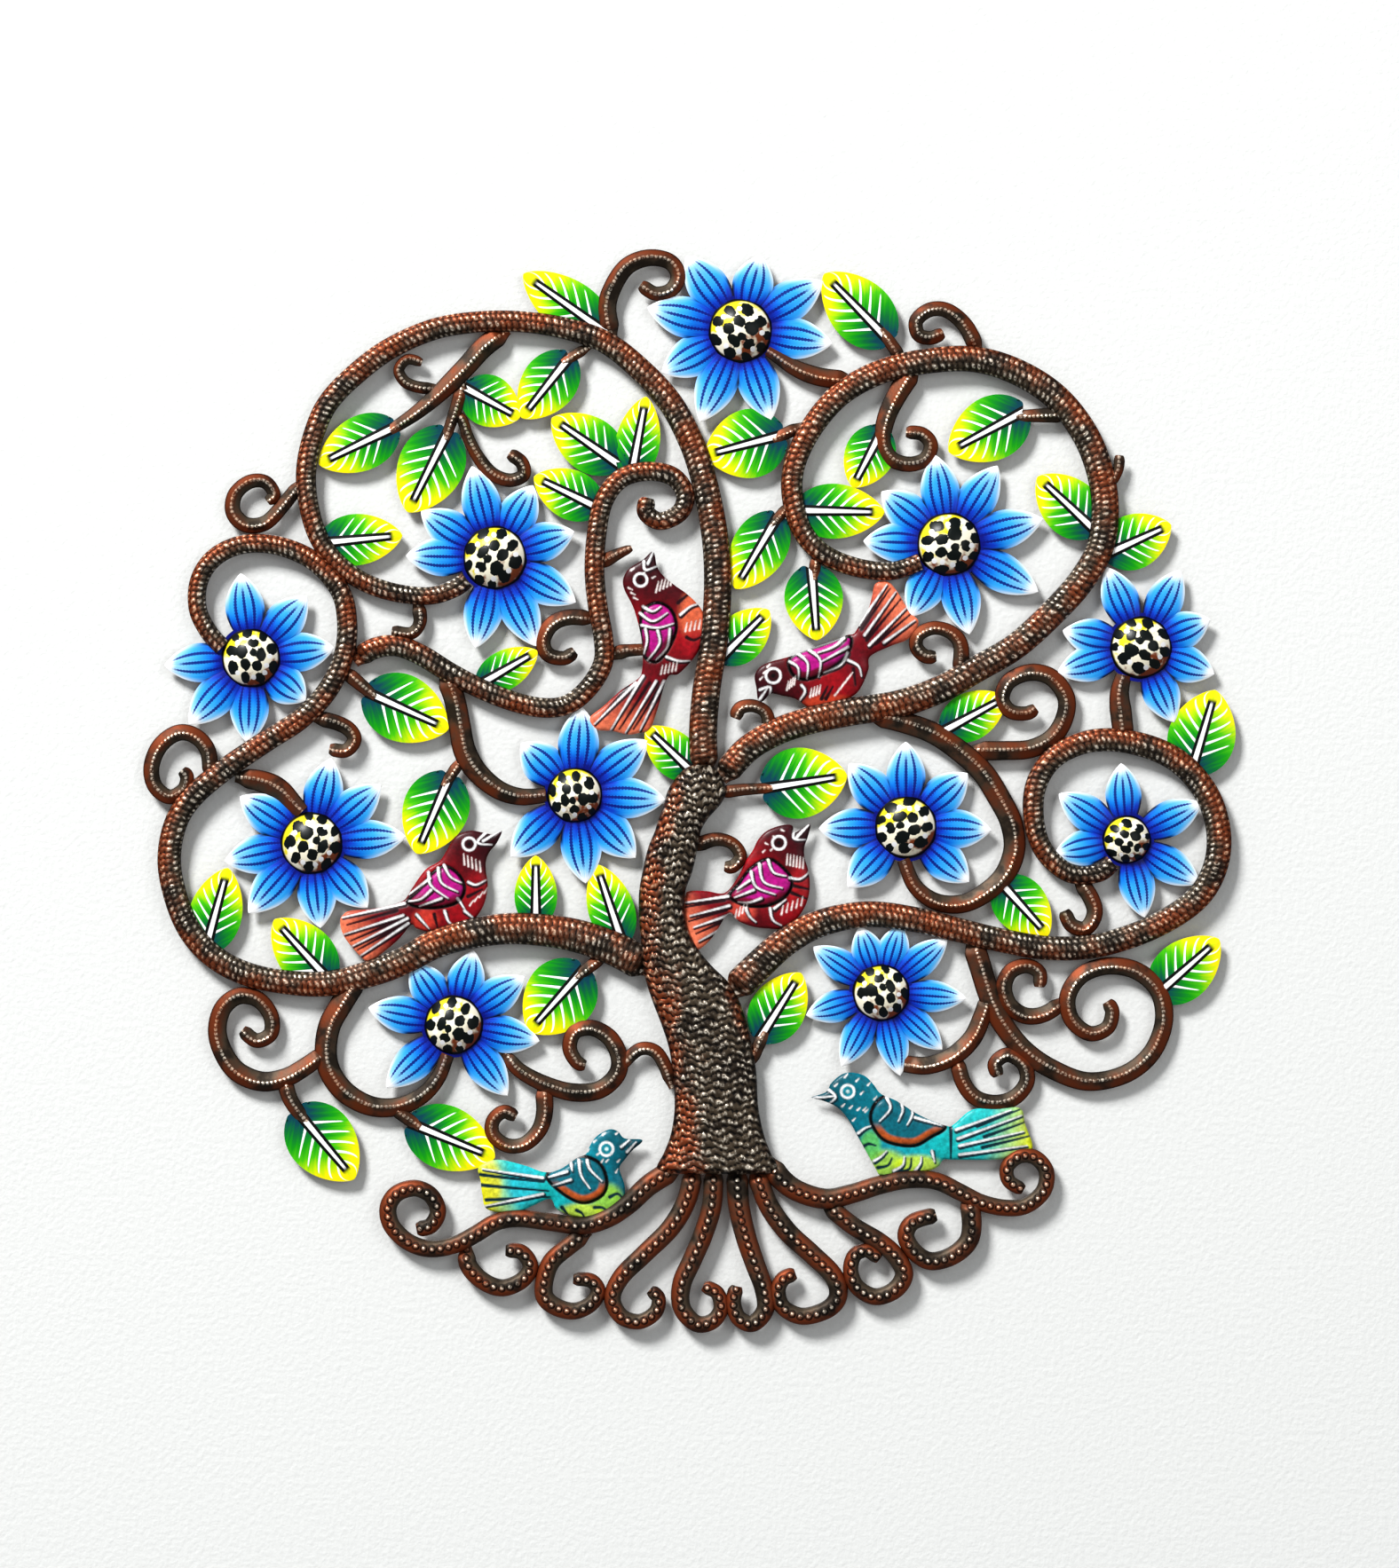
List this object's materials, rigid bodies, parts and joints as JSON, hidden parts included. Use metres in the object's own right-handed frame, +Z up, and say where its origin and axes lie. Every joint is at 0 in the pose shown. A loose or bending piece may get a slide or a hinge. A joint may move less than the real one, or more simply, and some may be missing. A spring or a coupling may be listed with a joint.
{
  "type": "tree of life wall hanging",
  "caption": "Round openwork wall piece of pressed, painted sheet steel: a knobbly trunk with curling limbs, vines, beaded roots, blue flowers, green leaves and perched birds.",
  "frame": {"origin": "On the wall plane behind the trunk, at the trunk's upper bulb, near the middle of the disc.", "axes": "+X to the right seen from the front, +Z up, and +Y into the wall; the relief stands out towards -Y."},
  "size_m": [0.6139, 0.0109, 0.6085],
  "materials": {
    "trunk_patina": "hand-rubbed dark pewter over pressed steel",
    "limb_patina": "copper highlights over dark brown, satin",
    "root_patina": "copper highlights over dark brown, satin",
    "vine_patina": "copper highlights over dark brown, satin",
    "petal_paint": "hand-painted gloss blue fading to white tips",
    "dome_paint": "hand-painted cream with black spots, gloss",
    "leaf_paint": "hand-painted green fading to yellow, gloss",
    "red_bird_paint": "hand-painted red with white strokes, gloss",
    "teal_bird_paint": "hand-painted teal fading to yellow, gloss"
  },
  "bodies": {
    "root": {"trunk": "trunk_patina", "limb_low_left": "limb_patina", "limb_crown_left": "limb_patina", "limb_inner_left": "limb_patina", "limb_crown_right": "limb_patina", "limb_low_right": "limb_patina", "root_far_left": "root_patina", "root_left_fork": "root_patina", "root_left_curl": "root_patina", "root_left": "root_patina", "root_mid_left": "root_patina", "root_mid_right": "root_patina", "root_right": "root_patina", "root_far_right": "root_patina", "root_right_fork": "root_patina", "root_right_curl": "root_patina", "vines_crown_left": "vine_patina", "vines_inner_left": "vine_patina", "vines_low_left": "vine_patina", "scroll_left": "vine_patina", "scroll_centre_left": "vine_patina", "vines_crown_right": "vine_patina", "scroll_right_upper": "vine_patina", "scroll_right_lower": "vine_patina", "scroll_right_inner": "vine_patina", "twigs_trunk": "vine_patina", "petals_1": "petal_paint", "petals_2": "petal_paint", "petals_3": "petal_paint", "petals_4": "petal_paint", "petals_5": "petal_paint", "petals_6": "petal_paint", "petals_7": "petal_paint", "petals_8": "petal_paint", "petals_9": "petal_paint", "petals_10": "petal_paint", "petals_11": "petal_paint", "dome_1": "dome_paint", "dome_2": "dome_paint", "dome_3": "dome_paint", "dome_4": "dome_paint", "dome_5": "dome_paint", "dome_6": "dome_paint", "dome_7": "dome_paint", "dome_8": "dome_paint", "dome_9": "dome_paint", "dome_10": "dome_paint", "dome_11": "dome_paint", "bird_1": "red_bird_paint", "bird_2": "red_bird_paint", "bird_3": "red_bird_paint", "bird_4": "red_bird_paint", "bird_5": "teal_bird_paint", "bird_6": "teal_bird_paint", "leaves_crown_left": "leaf_paint", "leaves_inner_left": "leaf_paint", "leaves_low_left": "leaf_paint", "leaves_crown_right": "leaf_paint", "leaves_low_right": "leaf_paint", "leaves_lower_scrolls": "leaf_paint"}
  },
  "joints": []
}
